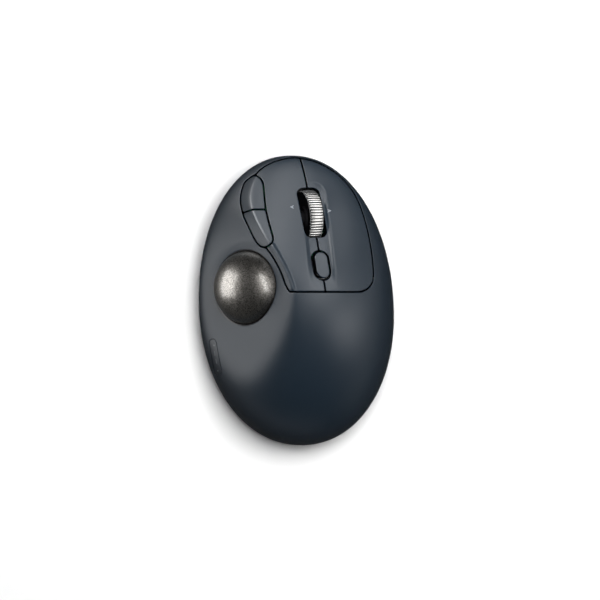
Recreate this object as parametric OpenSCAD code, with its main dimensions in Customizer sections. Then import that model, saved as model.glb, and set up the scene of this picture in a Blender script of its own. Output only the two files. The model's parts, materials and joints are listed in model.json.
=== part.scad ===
// Thumb-operated trackball mouse: an egg-shaped casing with the ball on the thumb side, two main keys,
// two side keys, a speed key and a leaning scroll wheel that turns, tilts and clicks.
// Millimetres. +X is to the right, +Y points to the fingers, +Z is up.
// The origin is the centre of the footprint, on the surface that the rubber feet stand on.

/* [Casing] */
// Half of the casing's greatest width
half_width = 43.8; // [43.5:0.1:44.2]
// Length from the widest section to the nose
nose_length = 68.4; // [68:0.1:69]
// Length from the widest section to the heel
heel_length = 61.8; // [61:0.1:62.5]
// Height of the palm above the casing's rim
crown = 37.6; // [37:0.1:38.5]
// Thickness of the casing walls and keys
wall = 2.2; // [2:0.1:2.3]
// Gap between neighbouring keys and casing
seam = 0.55; // [0.45:0.05:0.6]

/* [Trackball] */
// Diameter of the ball
ball_d = 34; // [33.8:0.1:34]
// Diameter of the opening that holds the ball
ball_opening_d = 33.4; // [33.2:0.1:33.6]

/* [Scroll wheel] */
// Diameter of the wheel over its ribs
wheel_d = 25; // [24.8:0.1:25.2]
// Width of the wheel
wheel_w = 6.4; // [6.2:0.1:6.6]
// Number of ribs
wheel_ribs = 30; // [24:1:36]
// Lean of the wheel to the right, in degrees
wheel_lean = 21; // [20:0.5:22]

/* [Detail] */
// Facets round the free-form casing
around = 96; // [72:4:112]
// Facet rings from the rim to the crown
rings = 26; // [20:1:30]

/* [Hidden] */

casing_blue = [0.16, 0.19, 0.23];
key_blue = [0.18, 0.21, 0.25];
dark_plastic = [0.06, 0.06, 0.07];
ball_grey = [0.35, 0.34, 0.33];
rib_metal = [0.78, 0.78, 0.77];
steel = [0.65, 0.66, 0.68];
board_green = [0.05, 0.25, 0.15];
smoke = [0.22, 0.22, 0.24];
clear_lens = [0.8, 0.85, 0.9];
rubber_black = [0.04, 0.04, 0.04];
ruby = [0.9, 0.9, 0.92];
pouch_silver = [0.7, 0.7, 0.72];

round_fn = 48;
tiny = 0.01;

// --- The egg-shaped plan. u runs across and v along the casing from the widest section. ---
egg_power = 2.08;
egg_y = (heel_length - nose_length) / 2;
egg_shear = 0.035;
base_z = 1;
floor_z = base_z + 1.8;
parting_z = 6;
tuck = 0.09;

function sign_of(t) = t < 0 ? -1 : 1;
function ramp(t, k) = (t + sqrt(t * t + k * k)) / 2;
function smooth(t) = t <= 0 ? 0 : t >= 1 ? 1 : t * t * (3 - 2 * t);
function to_x(u, v) = u - egg_shear * v;
function to_y(v) = v + egg_y;

// --- The casing's skin: a rim that rises to the nose, and a canopy folded along a crest. ---
rim_low = 11.5;
rim_rise = 0.05;
nose_fall = 0.36;
side_tilt = 0.25;
fold = 0.72;
channel_depth = 0.7;
channel_end = 46.5;
channel_w = 9.2;
dish_depth = 4;
dish_at = [-27, -18];
dish_r = 25;

function rim_z(v) = rim_low + rim_rise * ramp(v - 10, 20);
function crest_x(y) = 3 - 0.72 * ramp(y - 7, 14) + 1.2 * ramp(y - 45, 8) - 0.6 * ramp(-14 - y, 12);
function crest_softness(y) = 1.0 + 0.55 * ramp(-10 - y, 8);
function channel_x(y) = 13.3 - 0.1 * y - 0.0002 * y * y;
function channel(x, y) =
    let (away = norm([x - channel_x(y), max(0, y - channel_end)]))
    channel_depth * smooth((y - 4) / 14) * (1 - smooth((away - channel_w / 2) / 2));
function dish(x, y) = dish_depth * exp(-(pow(x - dish_at[0], 2) + pow(y - dish_at[1], 2)) / pow(dish_r, 2));
function canopy(x, y, u, v) =
    (crown - nose_fall * ramp(v, 15)) * (1 - side_tilt * u / half_width)
    - fold * ramp(crest_x(y) - x, crest_softness(y)) - dish(x, y) - channel(x, y);

// The side keys stand proud of the skin and fall away to both sides of a ridge along their middle.
side_rise = 1.15;
function ridge_x(y) = let (d = y - 46.5) -20.6 + 0.0285 * d * d + 0.00051 * d * d * d;
function ridge(x, y) =
    max(-1, side_rise - 0.24 * ramp(ridge_x(y) - x, 0.5) - 0.11 * ramp(x - ridge_x(y), 0.5));

// A point of the skin. t is 1 at the rim and 0 at the crown, and grow moves the skin outwards.
function skin_point(angle, t, grow, ridged = false) =
    let (c = cos(angle), s = sin(angle))
    let (u = t * sign_of(c) * pow(abs(c), 2 / egg_power) * (half_width + grow))
    let (v = t * sign_of(s) * pow(abs(s), 2 / egg_power) * ((s > 0 ? nose_length : heel_length) + grow))
    let (x = to_x(u, v), y = to_y(v))
    [x, y, rim_z(v) + sqrt(1 - pow(t, egg_power)) * canopy(x, y, u, v) + grow + (ridged ? ridge(x, y) : 0)];

// A point of the flank below the rim. f is 0 at the rim and 1 at the lower edge.
function flank_point(angle, f, grow, low) =
    let (p = skin_point(angle, 1, grow), t = 1 - tuck * pow(f, 2.2))
    [p[0] * t, egg_y + (p[1] - egg_y) * t, p[2] * (1 - f) + low * f];

// The casing as one closed body. Its skin lies grow outside the real one, and it ends at the height low.
module casing_body(grow, low, n_around, n_rings, ridged = false) {
    n_flank = 6;
    rows = n_rings + n_flank;
    points = concat(
        [skin_point(0, 0, grow, ridged)],
        [for (r = [n_rings - 1 : -1 : 0], i = [0 : n_around - 1])
            skin_point(360 * i / n_around, cos(90 * r / n_rings), grow, ridged)],
        [for (r = [1 : n_flank], i = [0 : n_around - 1])
            flank_point(360 * i / n_around, r / n_flank, grow, low)],
        [[0, egg_y, low]]
    );
    last = len(points) - 1;
    function at(r, i) = 1 + r * n_around + i % n_around;
    polyhedron(points, concat(
        [for (i = [0 : n_around - 1]) [0, at(0, i + 1), at(0, i)]],
        [for (r = [0 : rows - 2], i = [0 : n_around - 1]) [at(r, i), at(r, i + 1), at(r + 1, i + 1)]],
        [for (r = [0 : rows - 2], i = [0 : n_around - 1]) [at(r, i), at(r + 1, i + 1), at(r + 1, i)]],
        [for (i = [0 : n_around - 1]) [last, at(rows - 1, i), at(rows - 1, i + 1)]]
    ), convexity = 6);
}

module outer_body(grow = 0) { casing_body(grow, base_z, around, rings); }
module ridged_body() { casing_body(0, base_z, 2 * around, 2 * rings, true); }
module inner_body(grow = -wall) { casing_body(grow, floor_z, floor(around * 2 / 3), floor(rings * 2 / 3)); }

// A free-form piece keeps the facets of its skin and its own size.
module free_form() { resize([0, 0, 0]) children(); }

// --- Plan outlines of the keys. ---
// A smooth run through the points p, without its two end points.
function curve(p, steps = 6) = [
    for (i = [1 : len(p) - 3], j = [0 : steps - 1])
        let (t = j / steps, a = p[i - 1], b = p[i], c = p[i + 1], d = p[i + 2])
        0.5 * (2 * b + (c - a) * t + (2 * a - 5 * b + 4 * c - d) * t * t + (3 * b - a - 3 * c + d) * t * t * t)
];
key_rear_y = 3.8;
main_front = curve([
    [-19, 55], [-18.4, 56.4], [-15.3, 59.4], [-11, 61.8], [-6.9, 63.2], [-2.9, 64], [1, 64], [9.3, 62],
    [18, 57], [24, 50.9], [27.5, 45], [30.1, 38], [32.4, 29], [34, 19], [34.6, 10], [34.4, 3]
]);
main_left = curve([
    [-1.9, 1.5], [-3.2, key_rear_y], [-4.9, 7], [-6.4, 11.2], [-8.4, 15.5], [-10.9, 19.8], [-13.9, 23.8],
    [-16, 26]
], 3);
side_ring = [
    [-19.3, 56], [-21.6, 54.5], [-23.4, 52.7], [-24.9, 48], [-25.1, 43.8], [-24.2, 39.5], [-23.4, 36.9],
    [-21.2, 32.2], [-19.1, 27.9], [-17.4, 25.3], [-15.6, 23.8], [-13.9, 23.6], [-12.2, 24.4], [-10.8, 25.8],
    [-10.3, 27.5], [-10.6, 29.2], [-12.3, 35], [-13.8, 42], [-14.5, 49], [-14.9, 52.2], [-15.6, 54],
    [-17.3, 55.6]
];

module main_area() {
    polygon(concat(main_front, [[34.4, key_rear_y]], main_left, [[-15, 32], [-18, 45], [-18.4, 54]]));
}
module side_area() {
    n = len(side_ring);
    polygon(curve([for (i = [0 : n + 2]) side_ring[(i + n - 1) % n]], 3));
}
// The rear right corner of the keys is a wide arc.
module rounded_main_area() {
    corner_r = 7;
    intersection() {
        main_area();
        union() {
            translate([-60, key_rear_y + corner_r]) square([120, 80]);
            translate([-60, key_rear_y - 1]) square([60 + 34.5 - corner_r, 60]);
            translate([34.5 - corner_r, key_rear_y + corner_r]) circle(corner_r, $fn = round_fn);
        }
    }
}
module key_opening() {
    offset(delta = -0.6) offset(delta = 0.6 + seam / 2) {
        rounded_main_area();
        side_area();
    }
}
module prism(h = 60) { linear_extrude(h) children(); }

// --- The leaning frame of the wheel: Y runs forward, Z along the lean, and X along the axle. ---
wheel_at = [5, 36.9, 23.3];
wheel_yaw = 1.9;
wheel_r = wheel_d / 2;
slot_w = 10.4;
slot_front = 13.5;
slot_rear = 8.4;
slot_mid = (slot_front - slot_rear) / 2;
slot_corner = 3;
speed_y = -21.5;
speed_l = 12.3;
speed_w = 7.1;

module at_wheel() { translate(wheel_at) rotate([0, wheel_lean, wheel_yaw]) children(); }
module across(l, r) { rotate([0, 90, 0]) cylinder(h = l, r = r, center = true, $fn = round_fn); }
module stadium(l, w) {
    square([w, l - w], center = true);
    for (s = [-1, 1]) translate([0, s * (l - w) / 2]) circle(w / 2, $fn = round_fn);
}
// The slot in the keys, hollowed so that the wheel can tilt and the keys can sink.
module wheel_slot() {
    at_wheel() {
        translate([0, slot_mid, -4]) linear_extrude(40) offset(r = slot_corner)
            square([slot_w, slot_front + slot_rear] - 2 * slot_corner * [1, 1], center = true);
        across(wheel_w + 2.6, wheel_r + 0.5);
    }
}
module speed_hole(margin) {
    at_wheel() translate([0, speed_y, -4])
        linear_extrude(40) stadium(speed_l + 2 * margin, speed_w + 2 * margin);
}
// Everything on one side of the plane in which the wheel turns: side is -1 for left and 1 for right.
module wheel_side(side) {
    at_wheel() translate([side > 0 ? seam / 2 : -100 - seam / 2, -80, -60]) cube([100, 160, 120]);
}

// --- The ball and its opening. ---
ball_r = ball_d / 2;
ball_at = [-20.3, 5.7, 25.6];
ball_tilt = 37.5;
ball_turn = 182;
cup_rim = 1.2;
cup_gap = 0.6;
cup_wall = 1.8;
cup_r = ball_r + cup_gap;
bearing_r = 1.25;
bearing_lift = 52;

module at_ball() { translate(ball_at) rotate([0, ball_tilt, ball_turn]) children(); }

// ============================ Casing ============================
screw_spots = [[-29.5, 34], [35.6, 8], [-27, -36], [24, -38]];
screw_r = 1.3;
screw_head_r = 2.4;

usb_at = [-2.2, 0, 9.2];
usb_w = 8.94;
usb_h = 3.26;
usb_back = 55.9;
usb_front = 63.2;

lens_at = [-36.3, -25.4];
lens_turn = 11;
lens_l = 16.6;
lens_w = 3.4;

module lens_outline(margin) {
    translate(lens_at) rotate(lens_turn) stadium(lens_l + 2 * margin, lens_w + 2 * margin);
}

module top_shell() {
    color(casing_blue) free_form() difference() {
        union() {
            difference() {
                outer_body();
                inner_body();
            }
            intersection() {
                inner_body(-wall + 0.3);
                for (p = screw_spots)
                    translate([p[0], p[1], parting_z + 0.4]) cylinder(h = 40, r = 3, $fn = 24);
            }
        }
        translate([-100, -100, -10]) cube([200, 200, 10 + parting_z]);
        translate([0, 0, rim_low]) prism() key_opening();
        at_ball() cylinder(h = 40, d = ball_opening_d, $fn = 72);
        translate(ball_at) sphere(ball_r + 0.35, $fn = 72);
        intersection() {
            translate(ball_at) sphere(cup_r + cup_wall + 0.3, $fn = 64);
            at_ball() translate([0, 0, cup_rim + 0.3 - 40]) cylinder(h = 40, r = 40);
        }
        translate([0, 0, rim_low]) prism() lens_outline(0);
        for (p = screw_spots) translate([p[0], p[1], 0]) cylinder(h = 17, r = screw_r + 0.05, $fn = 24);
        translate([usb_at[0], usb_back, usb_at[2]]) rotate([-90, 0, 0])
            linear_extrude(20) rotate(90) stadium(usb_w + 0.8, usb_h + 0.8);
    }
}

// The receiver's bay, the slider's slot and the pairing button's hole in the floor.
receiver_at = [-12, -40];
receiver_l = 18.6;
receiver_w = 14.4;
receiver_h = 6;
bay_gap = 0.4;
slider_at = [14, -14];
slider_travel = 4;
pairing_at = [-8, -20];
pairing_r = 2.5;
eject_r = 4.5;

module bay(margin, low, high) {
    translate([receiver_at[0] - receiver_l / 2 - margin, receiver_at[1] - receiver_w / 2 - margin, low])
        cube([receiver_l + 2 * margin, receiver_w + 2 * margin, high - low]);
}

module base_shell() {
    bay_top = base_z + receiver_h + 1.2;
    color(casing_blue) difference() {
        union() {
            free_form() union() {
                difference() {
                    intersection() {
                        outer_body();
                        translate([-100, -100, 0]) cube([200, 200, parting_z - 0.15]);
                    }
                    inner_body();
                    for (f = foot_spots) foot(f, 0.15, 0, base_z + 0.6);
                }
                difference() {
                    bay(bay_gap + 1.2, base_z + 0.9, bay_top + 1.2);
                    bay(bay_gap, 0, bay_top);
                }
            }
            for (p = screw_spots) translate([p[0], p[1], floor_z - tiny]) cylinder(h = 3.4, r = 3.5);
            for (p = board_spots)
                translate([p[0], p[1], floor_z - tiny]) cylinder(h = board_z - floor_z, r = 2.4);
        }
        bay(bay_gap, 0, bay_top);
        for (p = screw_spots) {
            translate([p[0], p[1], 0]) cylinder(h = 20, r = screw_r + 0.15);
            translate([p[0], p[1], 0]) cylinder(h = base_z + 2.4, r = screw_head_r + 0.15);
        }
        for (p = board_spots) translate([p[0], p[1], floor_z + 0.8]) cylinder(h = 20, r = 0.82);
        translate([ball_at[0], ball_at[1], 0]) cylinder(h = 20, r = eject_r);
        translate([pairing_at[0], pairing_at[1], 0]) cylinder(h = 20, r = pairing_r + 0.2);
        translate([slider_at[0] - 2.2, slider_at[1] - 1.7, 0]) cube([4.4 + slider_travel, 3.4, 20]);
    }
}

// Five rubber feet, set in shallow pockets: x, y, turn, length and width of each.
foot_spots = [
    [-18, 48, -52, 17, 7], [14, 49, 52, 17, 7], [-29, -18, 14, 17, 7], [30, -18, -12, 17, 7],
    [0, -55, 90, 20, 6]
];
module foot(spot, margin, low, high) {
    translate([spot[0], spot[1], low]) rotate(spot[2]) linear_extrude(high - low)
        stadium(spot[3] + 2 * margin, spot[4] + 2 * margin);
}
module rubber_feet() {
    color(rubber_black) for (f = foot_spots) foot(f, 0, 0, base_z + 0.5);
}

module case_screws() {
    color(steel) for (p = screw_spots) translate([p[0], p[1], base_z + 0.7]) {
        difference() {
            cylinder(h = 1.6, r = screw_head_r);
            for (a = [0, 90]) rotate(a) translate([-1.4, -0.3, -1]) cube([2.8, 0.6, 1.8]);
        }
        translate([0, 0, 1.6 - tiny]) cylinder(h = 12, r = screw_r);
    }
}

// ============================ Keys ============================
// Both keys turn on one rod under their rear edge, and each presses its own switch with a post.
rod_y = -27.4;
rod_z = 10.8;
rod_r = 1;
rod_left = -12;
rod_right = 15.2;
lug_r = 2.2;
lug_w = 2.2;
left_lugs = [-11.4, -6.8];
right_lugs = [4.6, 12.4];
frame_lugs = [-8.9, 9];
frame_lug_r = 1.65;
bridge_z = 2.7;
left_post = [-10.4, 48.5];
right_post = [20, 40.8];
post_low = 15.3;
// The keys end this far above the casing's rim, which leaves room for them to sink.
key_sink = 1.7;

module at_rod() { at_wheel() translate([0, rod_y, rod_z]) children(); }
module along_rod(x, l, r) {
    at_rod() translate([x, 0, 0]) rotate([0, 90, 0]) cylinder(h = l, r = r, $fn = round_fn);
}

module key_blank(side) {
    difference() {
        intersection() {
            outer_body();
            translate([0, 0, rim_low + key_sink]) prism() offset(delta = -seam / 2) difference() {
                rounded_main_area();
                offset(delta = tiny) side_area();
            }
            wheel_side(side);
        }
        inner_body();
        wheel_slot();
        speed_hole(seam);
    }
}
module key(side, lugs, post_at) {
    free_form() union() {
        key_blank(side);
        intersection() {
            inner_body(-wall + 0.3);
            union() {
                at_rod() translate([lugs[0], -1.6, bridge_z]) cube([lugs[1] - lugs[0] + lug_w, 3.2, 8]);
                translate([post_at[0] - 1.5, post_at[1] - 1.2, post_low]) cube([3, 2.4, 20]);
            }
        }
    }
}
module left_button() { color(key_blue) key(-1, left_lugs, left_post); }
module right_button() { color(key_blue) key(1, right_lugs, right_post); }

// The hinge blocks are fixed under the keys. The rod runs through their lugs.
module hinge(lugs) {
    difference() {
        union() {
            for (x = lugs) along_rod(x, lug_w, lug_r);
            for (x = lugs) at_rod() translate([x, -1.6, 0]) cube([lug_w, 3.2, bridge_z]);
            at_rod() translate([lugs[0], -1.6, bridge_z - 0.7]) cube([lugs[1] - lugs[0] + lug_w, 3.2, 0.7]);
        }
        along_rod(-30, 60, rod_r + 0.05);
    }
}
module left_hinge() { color(dark_plastic) hinge(left_lugs); }
module right_hinge() { color(dark_plastic) hinge(right_lugs); }
module button_pivot_rod() { color(steel) along_rod(rod_left, rod_right - rod_left, rod_r); }

// The frame stands on the floor, holds the rod and carries the speed key's switch on a tongue.
module key_frame() {
    leg_tops = [[0.3, 31.2], [12.2, 26.4]];
    color(dark_plastic) difference() {
        union() {
            for (x = frame_lugs) {
                along_rod(x, 2, frame_lug_r);
                at_rod() translate([x, -1.6, -6.2]) cube([2, 3.2, 6.2]);
            }
            at_rod() translate([frame_lugs[0], -1.6, -6.2]) cube([frame_lugs[1] - frame_lugs[0] + 2, 3.2, 2]);
            at_rod() translate([-3, 0, -6.2]) cube([6, speed_y - rod_y + 3, 2]);
            for (l = leg_tops) translate([l[0], 8.2, floor_z]) cube([3, 2.6, l[1] - floor_z]);
            translate([leg_tops[0][0], 8.2, 12]) cube([leg_tops[1][0] - leg_tops[0][0] + 3, 2.6, 2]);
        }
        along_rod(-30, 60, rod_r + 0.02);
    }
}

// The two side keys share one opening, and the ridge runs through both.
side_split = [[-26, 38.4], [-19.6, 40.6], [-5, 40.6]];
module side_half(front) {
    y = front > 0 ? 80 : 0;
    offset(delta = -seam / 2) intersection() {
        side_area();
        polygon(concat(side_split, [[-5, y], [-40, y], [-40, side_split[0][1]]]));
    }
}
module side_key(front, stem_at) {
    free_form() union() {
        difference() {
            intersection() {
                ridged_body();
                translate([0, 0, rim_low]) prism() side_half(front);
            }
            inner_body();
        }
        intersection() {
            inner_body(-wall + 0.4);
            translate(stem_at) cylinder(h = 20, r = 1.5, $fn = 24);
        }
    }
}
forward_stem = [-18.6, 47, 17.5];
back_stem = [-16.6, 34, 20];
side_switch_h = 2.6;
side_gap = 0.55;
module forward_button() { color(key_blue) side_key(1, forward_stem); }
module back_button() { color(key_blue) side_key(-1, back_stem); }
module side_switches() {
    color(dark_plastic) for (p = [forward_stem, back_stem])
        translate([p[0], p[1], p[2] - side_gap - side_switch_h]) {
            translate([-2.2, -2.2, 0]) cube([4.4, 4.4, 1.8]);
            cylinder(h = side_switch_h, r = 1.2);
        }
}
module side_switch_board() {
    top = forward_stem[2] - side_gap - side_switch_h;
    color(board_green) union() {
        translate([-21.4, 31, top - 1]) cube([6.6, 19.4, 1]);
        translate([-19.6, 43.6, floor_z]) cube([3, 3, top - floor_z - 0.5]);
        translate([-19, 31.6, top - 0.5]) cube([4.8, 4.8, back_stem[2] - forward_stem[2] + 0.5]);
    }
}

speed_switch_h = 3.2;
speed_stem_z = rod_z - 4.2 + speed_switch_h + 0.5;
module speed_button() {
    color(key_blue) free_form() union() {
        difference() {
            intersection() {
                outer_body(0.3);
                speed_hole(0);
            }
            inner_body();
        }
        intersection() {
            inner_body(-wall + 0.4);
            at_wheel() translate([0, speed_y, speed_stem_z]) cylinder(h = 20, r = 1.6, $fn = 24);
        }
    }
}
module speed_switch() {
    color(dark_plastic) at_wheel() translate([0, speed_y, rod_z - 4.2]) {
        translate([-2.2, -2.2, 0]) cube([4.4, 4.4, 2.4]);
        cylinder(h = speed_switch_h, r = 1.4);
    }
}

// ============================ Scroll wheel ============================
axle_r = 1;
hub_r = 11.1;
rib_depth = 0.6;

// The rim's barrel-shaped ribs, cut from a disc with a wavy edge.
function rib_radius(a) = wheel_r - rib_depth * (0.5 - 0.5 * cos(wheel_ribs * a));
module wheel_rim() {
    steps = wheel_ribs * 8;
    crown_r = 15;
    color(rib_metal) at_wheel() rotate([0, 90, 0]) difference() {
        intersection() {
            linear_extrude(wheel_w, center = true) polygon([
                for (i = [0 : steps - 1]) let (a = 360 * i / steps) rib_radius(a) * [cos(a), sin(a)]
            ]);
            rotate_extrude($fn = 96) intersection() {
                translate([0, -wheel_w / 2]) square([wheel_r + 1, wheel_w]);
                translate([wheel_r - crown_r, 0]) circle(crown_r, $fn = 96);
            }
        }
        cylinder(h = wheel_w + 2, r = hub_r + 0.02, center = true, $fn = round_fn);
    }
}
module wheel_hub() {
    color(dark_plastic) at_wheel() difference() {
        union() {
            across(wheel_w - 0.6, hub_r);
            across(8.2, 3);
        }
        for (s = [-1, 1]) translate([s * (wheel_w / 2), 0, 0]) difference() {
            across(2.4, hub_r - 1.4);
            across(3, 4.4);
        }
        across(20, axle_r + 0.02);
    }
}
module wheel_axle() { color(steel) at_wheel() translate([1.1, 0, 0]) across(15.2, axle_r); }

// The cradle carries the axle and tilts on two pins that point fore and aft.
cradle_in = [9, 23.4];
cradle_out = [12.8, 26.6];
tilt_z = -7.4;
tilt_pin_r = 1.3;
module tilt_cradle() {
    color(dark_plastic) at_wheel() difference() {
        union() {
            translate([0, 0, tilt_z]) difference() {
                cube([cradle_out[0], cradle_out[1], 3.2], center = true);
                cube([cradle_in[0], cradle_in[1], 4], center = true);
            }
            for (s = [-1, 1]) {
                translate([s * 5.45 - 0.95, -1.7, tilt_z]) cube([1.9, 3.4, -tilt_z]);
                translate([s * 5.45, 0, 0]) across(1.9, 1.7);
                translate([0, s * 14.1, tilt_z]) rotate([90, 0, 0])
                    cylinder(h = 2.2, r = tilt_pin_r, center = true);
            }
        }
        across(40, axle_r + 0.05);
    }
}
module wheel_encoder() {
    color(dark_plastic) at_wheel() difference() {
        translate([6.5, -2.8, -3.2]) cube([2.4, 5.6, 5]);
        across(20, axle_r + 0.05);
    }
}

// The carriage holds the cradle's pins and slides down its two guide posts when the wheel is clicked.
carriage_z = [-9.8, -5.4];
guide_x = 10.6;
post_r = 1.2;
module carriage_outline() {
    polygon([
        [-6, -15.4], [6, -15.4], [8.6, -12.8], [8.6, 12.8], [6, 15.4], [-6, 15.4], [-8.6, 12.8], [-8.6, -12.8]
    ]);
}
module wheel_carriage() {
    h = carriage_z[1] - carriage_z[0];
    color(dark_plastic) at_wheel() difference() {
        union() {
            translate([0, 0, carriage_z[0]]) linear_extrude(h) difference() {
                carriage_outline();
                square([14, 27.2], center = true);
            }
            for (s = [-1, 1]) {
                translate([s * guide_x, 0, carriage_z[0]]) cylinder(h = h, r = 2.3);
                translate([s * 6.65 - 1.95, -2.6, carriage_z[0] - 2.1]) cube([3.9, 5.2, 1.2]);
                translate([s * 7.8 - 0.8, -2.6, carriage_z[0] - 2.1]) cube([1.6, 5.2, 2.2]);
            }
        }
        translate([0, 0, tilt_z]) rotate([90, 0, 0]) cylinder(h = 60, r = tilt_pin_r + 0.06, center = true);
        for (s = [-1, 1]) translate([s * guide_x, 0, -20]) cylinder(h = 40, r = post_r + 0.06);
    }
}
module tilt_switches() {
    color(dark_plastic) at_wheel() for (s = [-1, 1])
        translate([s * 5.85 - 0.95, -1.7, carriage_z[0] - 0.9]) cube([1.9, 3.4, 1]);
}
click_y = -14.4;
click_top = -10.45;
module scroll_mount() {
    color(dark_plastic) intersection() {
        union() {
            at_wheel() {
                for (s = [-1, 1]) translate([s * guide_x, 0, -40]) {
                    cylinder(h = 40 - 4.6, r = post_r);
                    cylinder(h = 40 - 12.8, r = 2.1);
                }
                translate([-2.4, click_y - 2.4, -40]) cube([4.8, 4.8, 40 + click_top - 4.3]);
            }
            translate([-18, wheel_at[1] - 2.5, floor_z]) cube([29, 5, 1.8]);
            translate([-6, 20, floor_z]) cube([5.4, 17, 1.8]);
        }
        translate([-50, -50, floor_z]) cube([120, 120, 40]);
    }
}
module wheel_click_switch() {
    color(dark_plastic) at_wheel() translate([0, click_y, click_top - 4.3]) {
        translate([-2.2, -2.2, 0]) cube([4.4, 4.4, 3.2]);
        cylinder(h = 4.3, r = 1.4);
    }
}

// ============================ Ball ============================
module trackball() { color(ball_grey) translate(ball_at) sphere(ball_r, $fn = 96); }

module on_cup(turn) { at_ball() rotate([0, 180 - bearing_lift, turn]) children(); }
bearing_turns = [20, 140, 260];
sensor_aim = [0, 118, 335];
module at_sensor() { translate(ball_at) rotate(sensor_aim) children(); }

module ball_cup() {
    color(dark_plastic) difference() {
        union() {
            intersection() {
                translate(ball_at) sphere(cup_r + cup_wall, $fn = 64);
                at_ball() translate([0, 0, cup_rim - 40]) cylinder(h = 40, r = 40);
            }
            for (t = bearing_turns) on_cup(t) translate([0, 0, cup_r + 0.4]) cylinder(h = 2.9, r = 2.4);
            translate([ball_at[0], ball_at[1], floor_z]) cylinder(h = 8, r = eject_r + 1.6);
            at_sensor() translate([0, 0, cup_r + 0.4]) cylinder(h = 2.6, r = 5);
        }
        translate(ball_at) sphere(cup_r, $fn = 64);
        for (t = bearing_turns) on_cup(t) cylinder(h = ball_r + 2 * bearing_r + 0.06, r = bearing_r + 0.04);
        translate([ball_at[0], ball_at[1], 0]) cylinder(h = 20, r = eject_r);
        at_sensor() cylinder(h = 30, r = 3.6);
    }
}
module ball_bearings() {
    color(ruby) for (t = bearing_turns) on_cup(t)
        translate([0, 0, ball_r + bearing_r + 0.03]) sphere(bearing_r, $fn = 32);
}
module sensor_lens() {
    color(clear_lens) at_sensor() translate([0, 0, cup_r + 0.9]) {
        cylinder(h = 2.2, r = 3.5);
        translate([0, 0, 2.2 - tiny]) cylinder(h = 0.8, r = 4.6);
    }
}
module sensor_module() { color(dark_plastic) at_sensor() translate([-5, -4, cup_r + 4]) cube([10, 8, 2]); }
module sensor_board() { color(board_green) at_sensor() translate([-7, -6, cup_r + 6.1]) cube([14, 12, 1]); }

// ============================ Electronics ============================
board_z = 6;
board_t = 1.4;
board_spots = [[-9, 25], [25, 19], [6, 54]];
module main_board() {
    color(board_green) difference() {
        translate([0, 0, board_z]) linear_extrude(board_t) polygon([
            [-12, 16], [-4, 13], [28, 13], [31, 17], [29, 30], [24, 44], [15, 52], [4, 58.4], [-8, 58.4],
            [-15.4, 52], [-14.4, 30]
        ]);
        for (p = board_spots) translate([p[0], p[1], 0]) cylinder(h = 20, r = 1.1);
        translate([-18, wheel_at[1] - 3.2, 0]) cube([8, 6.4, 20]);
        translate([6.4, wheel_at[1] - 3.2, 0]) cube([7, 6.4, 20]);
        translate([-5, 19.2, 0]) cube([7.6, 6.8, 20]);
    }
}
module board_screws() {
    color(steel) for (p = board_spots) translate([p[0], p[1], board_z + board_t]) {
        cylinder(h = 0.9, r = 1.9);
        translate([0, 0, -board_t - 1.8]) cylinder(h = board_t + 2, r = 0.8);
    }
}
module click_switches() {
    color(dark_plastic) for (p = [left_post, right_post]) translate([p[0], p[1] - 2, board_z + board_t]) {
        translate([-2.9, -6.4, 0]) cube([5.8, 12.8, 6.5]);
        translate([-1.4, 1.1, 6.4]) cube([2.8, 1.8, 0.8]);
    }
}
module controller_chip() {
    color(dark_plastic) translate([0, 0, board_z + board_t]) {
        translate([10, 16, 0]) cube([6, 6, 0.9]);
        translate([19, 23, 0]) cube([4, 4, 0.9]);
        translate([5, 24, 0]) cube([3, 2.5, 1]);
    }
}
module usb_c_port() {
    color(steel) translate([usb_at[0], usb_back, usb_at[2]]) rotate([-90, 0, 0]) difference() {
        linear_extrude(usb_front - usb_back) rotate(90) stadium(usb_w, usb_h);
        translate([0, 0, 0.8]) linear_extrude(20) rotate(90) stadium(usb_w - 0.6, usb_h - 0.6);
    }
}
module usb_c_tongue() {
    color(dark_plastic) translate([usb_at[0] - 3.35, usb_back + 0.8, usb_at[2] - 0.35]) cube([6.7, 5, 0.7]);
}
module battery() {
    color(pouch_silver) translate([0.6, -46, floor_z + 1]) cube([18.4, 27, 6.4]);
}
module battery_pad() { color(dark_plastic) translate([2, -44, floor_z]) cube([15.6, 23, 1]); }

module indicator_lens() {
    color(smoke) free_form() difference() {
        intersection() {
            outer_body(-0.25);
            translate([0, 0, rim_low]) prism() lens_outline(-0.12);
        }
        inner_body(-wall);
    }
}
module at_lens() { translate([lens_at[0], lens_at[1], 0]) rotate(lens_turn) children(); }
module indicator_board() {
    color(board_green) at_lens() translate([4.6, -8, floor_z]) cube([1, 16, 9]);
}
module indicator_leds() {
    color(clear_lens) at_lens() for (y = [-5.6, -1.8, 1.8, 5.6])
        translate([3.8, y - 0.6, 9]) cube([0.8, 1.2, 1.6]);
}

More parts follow.
